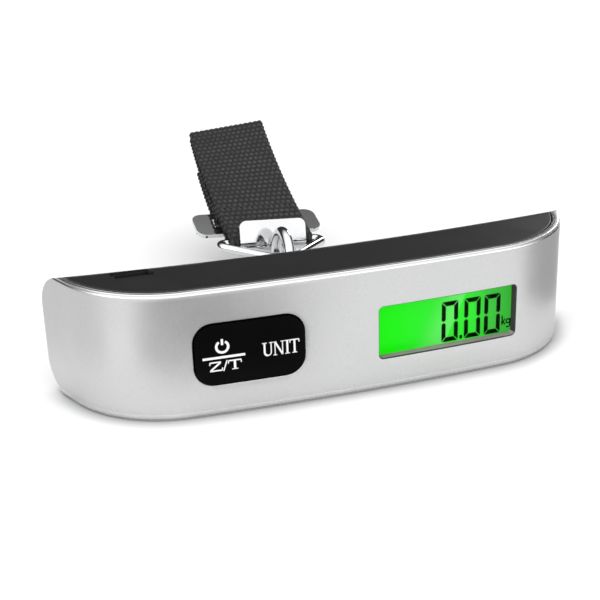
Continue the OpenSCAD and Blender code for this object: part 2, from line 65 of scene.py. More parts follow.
# ---------------------------------------------------------------- materials
class Mat:
    """A procedural material: principled shader, object coordinates and a few helpers."""

    def __init__(self, name, color=(0.5, 0.5, 0.5), rough=0.5, metal=0.0, **sockets):
        self.m = bpy.data.materials.new(name)
        self.m.use_nodes = True
        self.nt = self.m.node_tree
        self.p = self.nt.nodes["Principled BSDF"]
        self.put(self.p, "Base Color", (*color, 1))
        self.put(self.p, "Roughness", rough)
        self.put(self.p, "Metallic", metal)
        for k, v in sockets.items():
            self.put(self.p, k.replace("_", " "), v)
        self.co = self.nt.nodes.new("ShaderNodeTexCoord").outputs["Object"]
        self.last_bump = None

    def put(self, node, key, value):
        """Sets a socket, or links it when value is a socket itself."""
        sock = node.inputs[key]
        if isinstance(value, bpy.types.NodeSocket):
            self.nt.links.new(value, sock)
        else:
            sock.default_value = value

    def node(self, kind, attrs=None, **inputs):
        """New node. An input is given by its name, or as i0, i1 by its number."""
        n = self.nt.nodes.new(kind)
        for k, v in (attrs or {}).items():
            setattr(n, k, v)
        for k, v in inputs.items():
            self.put(n, int(k[1:]) if k[0] == "i" and k[1:].isdigit() else k.replace("_", " "), v)
        return n

    def noise(self, scale, detail=3.0, rough=0.55, stretch=None):
        co = self.co
        if stretch:
            co = self.node("ShaderNodeMapping", Vector=self.co, Scale=stretch).outputs[0]
        n = self.node("ShaderNodeTexNoise", Vector=co, Scale=scale, Detail=detail, Roughness=rough)
        return n.outputs["Fac"]

    def ramp(self, fac, lo, hi, a=0.0, b=1.0):
        """fac from lo..hi to a..b, smooth."""
        n = self.node("ShaderNodeMapRange", {"interpolation_type": "SMOOTHSTEP"}, Value=fac)
        for i, v in zip((1, 2, 3, 4), (lo, hi, a, b)):
            n.inputs[i].default_value = v
        return n.outputs[0]

    def mix(self, fac, a, b):
        n = self.node("ShaderNodeMix", {"data_type": "RGBA"})
        self.put(n, "Factor", fac)
        for sock, v in zip((6, 7), (a, b)):
            self.put(n, sock, v if isinstance(v, bpy.types.NodeSocket) else (*v, 1))
        return n.outputs[2]

    def math(self, op, a, b=0.0):
        return self.node("ShaderNodeMath", {"operation": op}, i0=a, i1=b).outputs[0]

    def bump(self, height, distance, strength=1.0):
        n = self.node("ShaderNodeBump", Height=height, Distance=distance, Strength=strength)
        if self.last_bump:
            self.put(n, "Normal", self.last_bump)
        self.last_bump = n.outputs[0]
        self.put(self.p, "Normal", n.outputs[0])
        return self

    def colour(self, fac, a, b):
        self.put(self.p, "Base Color", self.mix(fac, a, b))
        return self

    def roughness(self, fac, a, b):
        self.put(self.p, "Roughness", self.ramp(fac, 0.3, 0.7, a, b))
        return self


def plastic(name, color, rough, grain=0.25, depth=0.006, vary=0.25, **kw):
    """Moulded plastic: spark-eroded grain and slightly uneven gloss."""
    m = Mat(name, color, rough, **kw)
    n = m.noise(1 / (grain * MM), 2.0)
    m.bump(n, depth * MM)
    big = m.noise(90.0, 3.0)
    m.colour(m.ramp(big, 0.3, 0.7), color, tuple(c * (1 - vary) for c in color))
    m.roughness(big, rough * 0.9, min(1, rough * 1.15))
    return m.m


def metal(name, color, rough, grain=0.4, depth=0.002, stretch=None):
    """Bare or plated metal, with fine marks in its gloss."""
    m = Mat(name, color, rough, 1.0)
    n = m.noise(1 / (grain * MM), 3.0, stretch=stretch)
    m.roughness(n, rough * 0.75, rough * 1.35)
    m.bump(n, depth * MM)
    smudge = m.noise(60.0, 4.0)
    m.colour(m.ramp(smudge, 0.35, 0.75), color, tuple(c * 0.93 for c in color))
    return m.m


# silver finish of the front: fine metallic grain
m = Mat("silver_anodised", (0.57, 0.57, 0.575), 0.36, 1.0)
grain = m.noise(1 / (0.12 * MM), 2.0)
m.bump(grain, 0.0025 * MM)
m.colour(m.ramp(grain, 0.35, 0.65), (0.53, 0.53, 0.533), (0.64, 0.64, 0.643))
m.roughness(m.noise(70.0, 3.0), 0.33, 0.40)
M_SILVER = m.m
# brighter, glossier copy of the silver, put on rounded edges, lip ridges and the key's rim as a painted
# highlight
M_EDGE = metal("silver_edge", (0.74, 0.74, 0.74), 0.22, grain=0.3, depth=0.0006)
M_BLACK = plastic("black_grip", (0.0225, 0.0225, 0.023), 0.32, grain=0.3, depth=0.004,
                  Specular_IOR_Level=0.32)
# display recess plastic in two tones by facing: side walls and rim darker as painted shade, up-facing
# floor lighter as painted light
M_RECESS_SHADED = plastic("recess_painted_shade", (0.045, 0.042, 0.042), 0.45, grain=0.3, Specular_IOR_Level=0.3)
M_RECESS_LIT = plastic("recess_painted_lit", (0.34, 0.31, 0.30), 0.45, grain=0.3, Specular_IOR_Level=0.3)
M_KEY = plastic("black_key", (0.0022, 0.0022, 0.0024), 0.24, grain=0.6, depth=0.002,
                Specular_IOR_Level=0.035)
M_WHITE = plastic("white_print", (0.80, 0.80, 0.80), 0.5, grain=0.2, depth=0.003, vary=0.06)
M_CHROME = metal("chrome_plate", (0.63, 0.635, 0.645), 0.09, grain=0.8, depth=0.0008)
M_ZINC = metal("zinc_steel", (0.62, 0.62, 0.60), 0.3, grain=0.3)
M_CAN = metal("cell_can", (0.72, 0.72, 0.72), 0.24, grain=0.2, stretch=(1, 1, 8))
M_BRASS = metal("spring_brass", (0.80, 0.62, 0.30), 0.25)
M_ALU = metal("aluminium_bar", (0.78, 0.78, 0.80), 0.35, grain=0.15, depth=0.004, stretch=(0.1, 1, 1))
M_GREY = plastic("grey_plastic", (0.55, 0.55, 0.55), 0.5)
M_BUSH = plastic("bushing_black", (0.02, 0.02, 0.02), 0.35)
M_SWITCH = plastic("switch_black", (0.03, 0.03, 0.03), 0.5)
M_RESIN = plastic("black_resin", (0.012, 0.012, 0.012), 0.22, grain=1.2, depth=0.05)
M_PINK = plastic("pink_elastomer", (0.62, 0.26, 0.36), 0.6)
M_GAUGE = plastic("gauge_film", (0.60, 0.30, 0.06), 0.3)

# circuit board: green lacquer over raised tracks
m = Mat("green_board", (0.01, 0.16, 0.06), 0.3)
cells = m.node("ShaderNodeTexVoronoi", {"feature": "DISTANCE_TO_EDGE"}, Vector=m.co, Scale=260.0)
tracks = cells.outputs["Distance"]
m.colour(m.ramp(tracks, 0.05, 0.09), (0.02, 0.30, 0.10), (0.008, 0.13, 0.05))
M_BOARD = m.bump(tracks, 0.02 * MM).m

# black webbing: dark dyed yarn with fine fibres and a slight sheen; painted highlight on the raised nubs
# and painted shade between them, in random patches
m = Mat("black_webbing", (0.014, 0.014, 0.015), 0.6, Sheen_Weight=0.05, Sheen_Roughness=0.4)
m.put(m.p, "Specular IOR Level", 0.3)
m.put(m.p, "Sheen Tint", (0.75, 0.76, 0.8, 1))
fibre = m.noise(1 / (0.09 * MM), 3.0, stretch=(1.0, 0.22, 0.22))
m.bump(fibre, 0.03 * MM)
# painted light: the nubs' tops lighter and the hollows between them darker, by their height, scaled by
# random patches
rise = m.node("ShaderNodeAttribute", {"attribute_name": "relief"}).outputs["Fac"]
patches = m.ramp(m.noise(1 / (4.0 * MM), 2.0), 0.2, 0.8, 0.35, 1.0)
painted_nub_light_patchy = m.math("MULTIPLY", m.ramp(rise, 0.35, 1.0), patches)
m.colour(painted_nub_light_patchy, (0.0065, 0.0065, 0.007), (0.046, 0.046, 0.048))
M_WEB = m.m
m = Mat("black_thread", (0.012, 0.012, 0.013), 0.5, Sheen_Weight=0.05)
M_THREAD = m.bump(m.noise(1 / (0.08 * MM), 2.0), 0.04 * MM).m


# ---------------------------------------------------------------- mesh helpers
def new_object(name, bm, mats, body, sharp=32.0, weighted=False):
    """Mesh object from bm, smooth except at edges sharper than the given angle."""
    bm.normal_update()
    for f in bm.faces:
        f.smooth = True
    for e in bm.edges:
        if len(e.link_faces) == 2:
            e.smooth = e.calc_face_angle(0) < math.radians(sharp)
    me = bpy.data.meshes.new(name)
    bm.to_mesh(me)
    bm.free()
    for mat in mats:
        me.materials.append(mat)
    o = bpy.data.objects.new(name, me)
    scene.collection.objects.link(o)
    if weighted:
        mod = o.modifiers.new("normals", "WEIGHTED_NORMAL")
        mod.keep_sharp, mod.weight = True, 90
    if body:
        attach(o, body)
    return o


def loops_to_mesh(bm, rings):
    """Closed skin over a list of equally long point rings, with flat ends."""
    rows = [[bm.verts.new(p) for p in r] for r in rings]
    n = len(rows[0])
    for a, b in zip(rows, rows[1:]):
        for i in range(n):
            bm.faces.new((a[i], a[(i + 1) % n], b[(i + 1) % n], b[i]))
    bm.faces.new(rows[0][::-1])
    bm.faces.new(rows[-1])


def solved(a, b, operation):
    """Exact boolean of two bmeshes, as a new bmesh. Both are used up."""
    objs = []
    for bm in (a, b):
        bmesh.ops.recalc_face_normals(bm, faces=bm.faces)
        me = bpy.data.meshes.new("work")
        bm.to_mesh(me)
        bm.free()
        for _ in range(3):
            me.materials.append(None)
        o = bpy.data.objects.new("work", me)
        scene.collection.objects.link(o)
        objs.append(o)
    mod = objs[0].modifiers.new("cut", "BOOLEAN")
    mod.operation, mod.object, mod.solver = operation, objs[1], "EXACT"
    out = bmesh.new()
    out.from_mesh(objs[0].evaluated_get(bpy.context.evaluated_depsgraph_get()).to_mesh())
    for o in objs:
        me = o.data
        bpy.data.objects.remove(o)
        bpy.data.meshes.remove(me)
    return out


def rounded(bm, name, body, slot, mat, width=0.0, segments=3, angle=30.0, sharp=32.0, where=None):
    """Object from bm with its hard edges rounded; where picks the edges by their middle."""
    bmesh.ops.dissolve_limit(bm, angle_limit=math.radians(0.03), verts=bm.verts, edges=bm.edges)
    if width:
        edges = [e for e in bm.edges
                 if len(e.link_faces) == 2 and e.calc_face_angle(0) > math.radians(angle)
                 and (where is None or where((e.verts[0].co + e.verts[1].co) / 2))]
        bmesh.ops.bevel(bm, geom=edges, offset=width * MM, segments=segments, profile=0.6,
                        affect="EDGES", clamp_overlap=True)
    return new_object(name, bm, [mat], body, sharp, True)


def cad_mesh(node):
    """Copy of a CAD node's mesh, its faces joined up."""
    bm = bmesh.new()
    bm.from_mesh(NODES[node].data)
    bmesh.ops.remove_doubles(bm, verts=bm.verts, dist=2e-6)
    return bm


def refined(node, name, body, slot, mat, *args, **kw):
    """A CAD node's own mesh with its hard edges rounded."""
    o = rounded(cad_mesh(node), name, body, slot, mat, *args, **kw)
    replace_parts(o, node)


def dress(node, mat):
    """Puts a material on a CAD node that shows its own mesh."""
    me = NODES[node].data
    me.materials.clear()
    me.materials.append(mat)


# ---------------------------------------------------------------- housing outline
# the same plan as the CAD housing, in millimetres
FACE_R, FACE_HALF, CORNER_R, SIDE = 658.0, 40.4, 28.5, math.radians(68)
BODY_H, BODY_D, BACK_R, BACK_EDGE = 32.2, 26.3, 573.0, 9.2
ORIGIN_Y = 13.0
TURN = math.asin(FACE_HALF / FACE_R)
S1 = FACE_R * TURN
S2 = S1 + CORNER_R * (SIDE - TURN)
CX, CY = (FACE_R - CORNER_R) * math.sin(TURN), FACE_R - (FACE_R - CORNER_R) * math.cos(TURN)


def outline(s, o=0.0, z=0.0):
    """Point of the housing's side, s along it from the middle, o inwards, z up, in metres."""
    t = abs(s)
    if t <= S1:
        a = t / FACE_R
        x, y = FACE_R * math.sin(a), FACE_R - FACE_R * math.cos(a)
    else:
        a = TURN + (min(t, S2) - S1) / CORNER_R
        x, y = CX + CORNER_R * math.sin(a), CY - CORNER_R * math.cos(a)
        if t > S2:
            x, y = x + (t - S2) * math.cos(a), y + (t - S2) * math.sin(a)
    x, y = x - o * math.sin(a), y + o * math.cos(a)
    return Vector((math.copysign(x, s) if s else x, y - ORIGIN_Y, z)) * MM


def arc(cx, cy, r, a0, a1, n):
    """n + 1 points of an arc from a0 to a1 degrees."""
    return [(cx + r * math.cos(math.radians(a0 + (a1 - a0) * i / n)),
             cy + r * math.sin(math.radians(a0 + (a1 - a0) * i / n))) for i in range(n + 1)]


def swept_wall(bm, profile, smax, mats=None, step=1.0):
    """Closed (o, z) profile swept along the outline from -smax to smax."""
    stations = sorted(set(
        list(np.linspace(-S1, S1, int(2 * S1 / step / 1.5)))
        + list(np.linspace(S1, S2, 46)) + list(-np.linspace(S1, S2, 46))
        + list(np.linspace(S2, smax, 5)) + list(-np.linspace(S2, smax, 5))))
    loops_to_mesh(bm, [[outline(s, o, z) for o, z in profile] for s in stations])
    if mats:
        bm.faces.ensure_lookup_table()
        for k in range(len(profile) * (len(stations) - 1)):
            bm.faces[k].material_index = mats[k % len(profile)]


def back_sweep():
    """The bar's cross-section with its rounded back edges, swept along the hollow back."""
    bm = bmesh.new()
    r, past_front = BACK_EDGE, 60.0
    prof = ([(past_front, 0.0)] + arc(r, r, r, 270, 180, 24)
            + arc(r, BODY_H - r, r, 180, 90, 24) + [(past_front, BODY_H)])
    back_y, spread, steps = BODY_D + BACK_R - ORIGIN_Y, 17.0, 120
    rings = []
    for i in range(steps + 1):
        a = math.radians(spread * (i / steps - 0.5))
        rings.append([Vector(((BACK_R + d) * math.sin(a), back_y - (BACK_R + d) * math.cos(a), z)) * MM
                      for d, z in prof])
    loops_to_mesh(bm, rings)
    return bm


def rounded_rect(w, h, r, n=10):
    """Points of a rounded rectangle, anticlockwise."""
    pts = []
    for cx, cz, a in ((w / 2 - r, h / 2 - r, 0), (-w / 2 + r, h / 2 - r, 90),
                      (-w / 2 + r, -h / 2 + r, 180), (w / 2 - r, -h / 2 + r, 270)):
        pts += arc(cx, cz, r, a, a + 90, n)
    return pts


def split_sides(pts, n=20):
    """The rounded rectangle pts with each of its straight sides split into n."""
    out = []
    for i, p in enumerate(pts):
        q = pts[(i + 1) % len(pts)]
        k_max = n if (i + 1) % (len(pts) // 4) == 0 else 1
        out += [(p[0] + (q[0] - p[0]) * k / k_max, p[1] + (q[1] - p[1]) * k / k_max) for k in range(k_max)]
    return out


def opening_tool(spot, grow, r, flare, depth=4.0):
    """Cutter for the opening at spot: a rounded rectangle with a flared, rounded rim."""
    bm = bmesh.new()
    s0 = FACE_R * math.asin(spot["x"] / FACE_R)
    rows = [(-1.2, flare)]
    for k in range(5):
        a = math.radians(90 * k / 4)
        rows.append((flare * (1 - math.cos(a)) - (0.02 if k == 0 else 0), flare * (1 - math.sin(a))))
    rows.append((depth, 0.0))
    rings = []
    for d, g in rows:
        pts = split_sides(rounded_rect(spot["w"] + grow + 2 * g, spot["h"] + grow + 2 * g, r + g))
        rings.append([outline(s0 + x, d, spot["z"] + z) for x, z in pts])
    loops_to_mesh(bm, rings)
    return bm


# places and sizes of the display and the key on the face, in millimetres, as in the CAD
DISPLAY = dict(x=25.4, z=15.0, w=38.0, h=14.2)
KEY = dict(x=-25.7, z=15.9, w=26.4, h=15.2)


def at_face(x0, z0):
    """Frame on the housing's face at x0, z0: X along the face, Y into it, in millimetres."""
    a = math.asin(x0 / FACE_R)
    return (Matrix.Translation(Vector((x0, FACE_R - math.sqrt(FACE_R ** 2 - x0 ** 2) - ORIGIN_Y, z0)) * MM)
            @ Matrix.Rotation(a, 4, "Z") @ Matrix.Scale(MM, 4))


def to_face(spot):
    """World metres to millimetres in the frame of the display or the key."""
    return at_face(spot["x"], spot["z"]).inverted()


# silver front shell: swept front wall with a thin rounded lip, openings with soft rims.
# LIP is the lip's outline as (inwards, up) from its outer edge, with the material of each stretch: the
# brighter edge silver paints highlights on the rounded edge and the ridges, plain silver the grey bands
# between.
SILVER, EDGE, RECESS_SHADED, RECESS_LIT = range(4)
LIP = [(0.0, 0.86), (0.02, 0.80), (0.21, 0.62), (0.25, 0.56), (0.30, 0.26), (0.34, 0.14), (0.42, 0.05),
       (0.52, 0.01), (0.60, 0.0), (1.04, 0.0), (1.09, 0.07), (1.19, 0.07), (1.24, 0.0), (1.84, 0.0),
       (1.9, 0.05)]
LIP_MATS = [EDGE] * 3 + [SILVER] * 2 + [EDGE] * 3 + [SILVER] * 4 + [EDGE] * 2 + [SILVER]
WALL_ROWS, WALL_Z0, WALL_END, SKIN = 15, 1.8, S2 + 16, 1.7
FACING, RIM_DEPTH, RECESS_DEPTH = -0.93, 0.3, 3.6


def in_opening(f, spot, reach_x, reach_z, depth):
    """Depth below the curved face if f lies in the opening at spot and above depth, else None."""
    q = to_face(spot) @ f.calc_center_median()
    d = q.y - q.x ** 2 / (2 * FACE_R)
    return d if abs(q.x) < reach_x and abs(q.z) < reach_z and -0.02 < d < depth else None


def front_shell():
    wall = [(0.0, z) for z in np.linspace(WALL_Z0, BODY_H - WALL_Z0, WALL_ROWS)]
    profile = LIP[::-1] + wall + [(o, BODY_H - z) for o, z in LIP]
    mats = [SILVER] + LIP_MATS[-2::-1] + [SILVER] * WALL_ROWS + LIP_MATS
    shell = bmesh.new()
    swept_wall(shell, profile, WALL_END, mats)
    shell = solved(shell, back_sweep(), "INTERSECT")
    for tool in (opening_tool(DISPLAY, -0.7, 1.1, 0.4), opening_tool(KEY, 0.4, 4.8, 0.36)):
        shell = solved(shell, tool, "DIFFERENCE")
    inner = bmesh.new()
    swept_wall(inner, [(SKIN, BODY_H + 1), (30, BODY_H + 1), (30, -1), (SKIN, -1)], WALL_END, step=2.0)
    shell = solved(shell, solved(cad_mesh("front_shell"), inner, "INTERSECT"), "UNION")
    for f in shell.faces:
        if f.normal.y < FACING:
            continue
        # painted light in the display recess: up-facing floor faces take the lighter tone, the other walls
        # and the rim the darker one
        depth = in_opening(f, DISPLAY, 19.5, 7.6, RECESS_DEPTH)
        if depth is not None:
            f.material_index = RECESS_LIT if f.normal.z > 0.5 and depth > 0.35 else RECESS_SHADED
        # painted highlight: the key opening's rim takes the brighter edge silver, a pale outline round the
        # key
        if in_opening(f, KEY, 13.8, 8.3, RIM_DEPTH) is not None:
            f.material_index = EDGE
    skin = new_object("front_shell_skin", shell, [M_SILVER, M_EDGE, M_RECESS_SHADED, M_RECESS_LIT],
                      "housing", 38)
    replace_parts(skin, "front_shell")


front_shell()

# black rear shell with a shadow gap along the silver lip
GROOVE = [(1.5, 1.1), (2.25, 1.1), (2.25, 0.35), (2.29, 0.19), (2.39, 0.08), (2.55, -0.001), (2.6, -1),
          (1.5, -1)]
STEP = [(-53.4, 2.6), (-44.2, 2.6), (-44.2, 5.3), (-53.4, 5.3)]
STEP_DEEP = 0.75


def near_door(c):
    """Whether an edge's middle is by the battery notch on top or the door at the back."""
    on_top = c.z > 0.0305 and c.y > -0.004
    at_back = c.y > 0.0105 and c.z > 0.001
    return c.x < -0.018 and (on_top or at_back)


def rear_shell():
    shell = cad_mesh("rear_shell")
    for groove_line in ([(o, BODY_H - z) for o, z in GROOVE], GROOVE):
        groove = bmesh.new()
        swept_wall(groove, groove_line, WALL_END, step=2.0)
        shell = solved(shell, groove, "DIFFERENCE")
    # shallow step in front of the finger notch
    step = bmesh.new()
    loops_to_mesh(step, [[Vector((x, y, z)) * MM for x, y in STEP]
                         for z in (BODY_H - STEP_DEEP, BODY_H + 1.0)])
    shell = solved(shell, step, "DIFFERENCE")
    skin = rounded(shell, "rear_shell_skin", "housing", "black_grip", M_BLACK, 0.24, 2, 60, 30, near_door)
    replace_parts(skin, "rear_shell")


rear_shell()
refined("battery_cover", "battery_door", "cover", "black_grip", M_BLACK, 0.22)

# ---------------------------------------------------------------- plain node materials
for node, mat in {
    "display_frame": M_GREY, "zebra_strip": M_PINK, "circuit_board": M_BOARD,
    "control_chip": M_RESIN, "switch_left": M_SWITCH, "switch_right": M_SWITCH, "plunger_left": M_SWITCH,
    "plunger_right": M_SWITCH, "load_cell": M_ALU, "strain_gauges": M_GAUGE, "gauge_ribbon": M_GAUGE,
    "load_cell_screws": M_ZINC, "case_screws": M_ZINC, "board_screws": M_ZINC, "hook_bushing": M_BUSH,
    "hook_washer": M_ZINC, "hook_nut": M_ZINC, "battery": M_CAN, "contact_positive": M_BRASS,
    "contact_negative": M_BRASS, "load_hook": M_CHROME, "ring": M_CHROME,
}.items():
    dress(node, mat)

# strap frame: origin on the ring's bar, Y along the strap, Z up from its front, in millimetres
ROLL_HOOK, SLOPE = math.radians(4), math.radians(14.5)
ON_BAR = (Matrix.Translation(JOINTS["strap_swing"]["pos_m"]) @ Matrix.Rotation(ROLL_HOOK, 4, "Y")
          @ Matrix.Rotation(SLOPE, 4, "X") @ Matrix.Scale(MM, 4))


def buckle(curl_r=3.5, thick=1.14, half=9.86, end=147):
    """The CAD plate, with its tongue at full width where it curls up in front of the webbing."""
    line = []
    for deg in range(186, end - 1, -3):
        a = math.radians(deg)
        line.append((curl_r * math.cos(a), curl_r * math.sin(a), a))
    u_end, v_end, a = line[-1]
    line += [(u_end + d * math.sin(a), v_end - d * math.cos(a), a) for d in (0.8, 1.6)]
    section = [(-half, -thick / 2), (half, -thick / 2), (half, thick / 2), (-half, thick / 2)]
    cheeks = bmesh.new()
    loops_to_mesh(cheeks, [[ON_BAR @ Vector((x, u + r * math.cos(a), v + r * math.sin(a)))
                            for x, r in section] for u, v, a in line])
    bm = solved(cad_mesh("hook_buckle"), cheeks, "UNION")
    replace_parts(rounded(bm, "buckle_plate", "strap", "chrome_plate", M_CHROME, 0.42, 5), "hook_buckle")


buckle()
refined("key_rocker", "key_cap", "key", "black_key", M_KEY, 0.4, 4, angle=50)

# ---------------------------------------------------------------- strap
# webbing width, strap length, then the weave: spacing of rows and yarns, their rise, points across
WEB_W, STRAP_L, ROW, PITCH, RISE, COLS = 25.4, 67.0, 2.4, 1.69, 0.36, 96
WRAP_R, STEP_ALONG = 2.08, 0.26


def relaxed(x, u, v):
    """The strap leans, twists and skews a little towards its folded top, as webbing does."""
    t = min(1.0, max(0.0, u / STRAP_L))
    a = math.radians(7.3) * t * t
    return ON_BAR @ Vector((x * math.cos(a) - v * math.sin(a) + 3.1 * t * t,
                            u + 0.062 * x * t, v * math.cos(a) + x * math.sin(a) + 1.4 * t * t))


def strap_path():
    """Centre line of the webbing seen from its edge: evenly spaced (u, v) with directions."""
    pts = [(20.0, 0.74), (8.3, 0.74), (7.6, 0.68), (6.8, 0.42), (1.9, -1.85), (1.2, -2.06), (0.6, -WRAP_R)]
    pts += arc(0, 0, WRAP_R, 270, 90, 30)
    pts += arc(64.77, 0.505, 1.575, 90, -90, 24)
    pts += arc(16.8, -2.4, 1.33, 90, 270, 24) + [(49.0, -3.73)]
    s = [0.0]
    for a, b in zip(pts, pts[1:]):
        s.append(s[-1] + math.dist(a, b))
    even = np.linspace(0, s[-1], int(s[-1] / STEP_ALONG))
    u, v = np.interp(even, s, [p[0] for p in pts]), np.interp(even, s, [p[1] for p in pts])
    du, dv = np.gradient(u), np.gradient(v)
    k = np.hypot(du, dv)
    return even, u, v, du / k, dv / k


def nub(x, s, side):
    """Height of the ribbed weave: rows of short raised yarn floats, every other row shifted."""
    row = math.floor(s / ROW)
    ds = s - (row + 0.5) * ROW
    shift = PITCH / 2 * ((row + side) % 2)
    dx = (x + shift) % PITCH - PITCH / 2
    return RISE * math.sqrt(max(0.0, 1 - (dx / 0.80) ** 2 - (ds / 1.08) ** 2))


def webbing(half_core=0.31, scallop=0.16, edge_w=0.55):
    """The woven strip: both faces carry the nubs, and the selvedges curve in between the rows."""
    bm = bmesh.new()
    rings, relief = [], []
    for s_at, u, v, du, dv in zip(*strap_path()):
        half = WEB_W / 2 - scallop + scallop * math.cos(2 * math.pi * s_at / ROW)
        ring = []
        for side in (1, -1):
            for i in range(COLS):
                x = half * (-1 + 2 * i / (COLS - 1))
                rise = nub(x, s_at, side > 0)
                relief.append(rise / RISE)
                edge = max(0.0, (abs(x) - (half - edge_w)) / edge_w)
                h = (half_core + rise) * math.sqrt(max(0.0, 1 - edge * edge * 0.96))
                h += 0.05 * math.exp(-((abs(x) - half + 2 * edge_w) / 0.6) ** 2)
                h *= side
                ring.append(relaxed(side * x, u - dv * h, v + du * h))
        rings.append(ring)
    loops_to_mesh(bm, rings)
    bmesh.ops.recalc_face_normals(bm, faces=bm.faces)
    web = new_object("webbing_woven", bm, [M_WEB], "strap", 75)
    web.data.attributes.new("relief", "FLOAT", "POINT").data.foreach_set("value", relief)
    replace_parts(web, "strap_webbing")


def stitches(count=8, gap=3.0, long=2.6, thread_r=0.2, arch=0.42):
    """Two rows of lock stitches through the sewn end, each an arched piece of thread."""
    bm = bmesh.new()
    for u0 in (12.0, 16.0):
        for k in range(count):
            x0 = (k - (count - 1) / 2) * gap
            sway = 0.06 * math.sin(k * 2.3 + u0)
            rings = []
            for i in range(13):
                f = i / 12
                x = x0 + long * (f - 0.5)
                up = WRAP_R + 0.04 + arch * math.sin(math.pi * f) ** 0.5 if 0 < f < 1 else WRAP_R - 0.1
                rings.append([relaxed(x, u0 + sway + thread_r * math.cos(a), up + thread_r * math.sin(a))
                              for a in [math.tau * j / 10 for j in range(10)]])
            loops_to_mesh(bm, rings)
    bmesh.ops.recalc_face_normals(bm, faces=bm.faces)
    thread = new_object("thread_stitches", bm, [M_THREAD], "strap", 80)
    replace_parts(thread, "strap_stitching")


webbing()
stitches()


# ---------------------------------------------------------------- display and key faces
def plate(bm, frame_m, pts, y0, y1):
    """Closed plate of the polygon pts (x, z) between local depths y0 and y1."""
    loops_to_mesh(bm, [[frame_m @ Vector((x, y, z)) for x, z in pts] for y in (y0, y1)])


def stroke(bm, frame_m, pts, w, y0, y1):
    """Closed pen stroke of width w along the polyline pts, with mitred corners."""
    left, right = [], []
    for i, p in enumerate(pts):
        a, b = pts[max(i - 1, 0)], pts[min(i + 1, len(pts) - 1)]
        d1 = Vector((p[0] - a[0], p[1] - a[1]))
        d2 = Vector((b[0] - p[0], b[1] - p[1]))
        d1, d2 = (d1 if d1.length else d2).normalized(), (d2 if d2.length else d1).normalized()
        n = Vector((-(d1 + d2).y, (d1 + d2).x)).normalized()
        k = w / 2 / max(0.3, n.dot(Vector((-d1.y, d1.x))))
        left.append((p[0] + n.x * k, p[1] + n.y * k))
        right.append((p[0] - n.x * k, p[1] - n.y * k))
    plate(bm, frame_m, left + right[::-1], y0, y1)


DISP = at_face(DISPLAY["x"], DISPLAY["z"])
KEYF = at_face(KEY["x"], KEY["z"])

# depths of the liquid-crystal ink and of the key's raised print, below the face
INK = (3.906, 3.934)
PRINT = (-0.49, -0.43)
# heights of a digit's top, waist and foot, thickness of its level and upright segments, its width
TOP, MID, LOW, TH, TV, DIGIT_W = 3.72, -1.75, -7.12, 1.2, 1.12, 4.55


def zero_digit(bm, x0):
    """A nought of six mitred segments, with its left side at x0."""
    x1 = x0 + DIGIT_W
    for z0, z1 in ((TOP, TOP - TH), (LOW, LOW + TH)):
        plate(bm, DISP, [(x0 + 0.15, z0), (x1 - 0.15, z0), (x1 - TV - 0.1, z1), (x0 + TV + 0.1, z1)], *INK)
    for end, waist, up in ((TOP - 0.2, MID + 0.12, 1), (LOW + 0.2, MID - 0.12, -1)):
        for xo, xi in ((x0, x0 + TV), (x1, x1 - TV)):
            shoulder = waist + 0.45 * up
            plate(bm, DISP, [(xo, end), (xi, end - up * (TH - 0.05)), (xi, shoulder),
                             ((xo + xi) / 2, waist), (xo, shoulder)], *INK)


def digits():
    """The reading: three noughts, a point and the unit's two letters."""
    bm = bmesh.new()
    for left in (-0.25, 6.03, 11.66):
        zero_digit(bm, left)
    plate(bm, DISP, [(4.8, -6.95), (5.55, -6.95), (5.55, -6.0), (4.8, -6.0)], *INK)
    stroke(bm, DISP, [(16.85, -2.75), (16.85, -5.3)], 0.4, *INK)
    stroke(bm, DISP, [(17.72, -3.7), (17.1, -4.4), (17.76, -5.3)], 0.36, *INK)
    stroke(bm, DISP, arc(18.55, -4.42, 0.54, 0, 360, 20), 0.36, *INK)
    stroke(bm, DISP, [(19.14, -3.75), (19.14, -5.45)] + arc(18.56, -5.5, 0.57, -5, -150, 10), 0.34, *INK)
    bmesh.ops.recalc_face_normals(bm, faces=bm.faces)
    ink = Mat("lcd_ink", (0.002, 0.006, 0.002), 0.6, Specular_IOR_Level=0.0)
    ink.colour(ink.noise(400.0), (0.001, 0.004, 0.001), (0.002, 0.008, 0.002))
    new_object("lcd_segments", bm, [ink.m], "housing", 30)


# the key's legends as pen strokes: points (x, z) on the key, and the stroke's width
POWER_SIGN = [(arc(-6.65, 2.05, 1.42, 122, 418, 32), 0.6), ([(-6.65, 4.0), (-6.65, 2.5)], 0.56)]
BAR = [([(-11.46, -0.6), (-1.29, -0.6)], 0.6)]
ZERO_TARE = [
    ([(-9.75, -1.72), (-7.15, -1.72)], 0.34), ([(-7.25, -1.85), (-9.7, -3.72)], 0.44),
    ([(-9.85, -3.85), (-6.95, -3.85)], 0.34), ([(-9.75, -1.6), (-9.85, -2.35)], 0.26),
    ([(-6.98, -3.95), (-6.85, -3.2)], 0.26), ([(-6.62, -4.15), (-5.68, -1.5)], 0.3),
    ([(-5.35, -1.72), (-2.35, -1.72)], 0.34), ([(-5.3, -1.6), (-5.42, -2.45)], 0.26),
    ([(-2.4, -1.6), (-2.28, -2.45)], 0.26), ([(-3.85, -1.9), (-3.85, -3.9)], 0.56)]
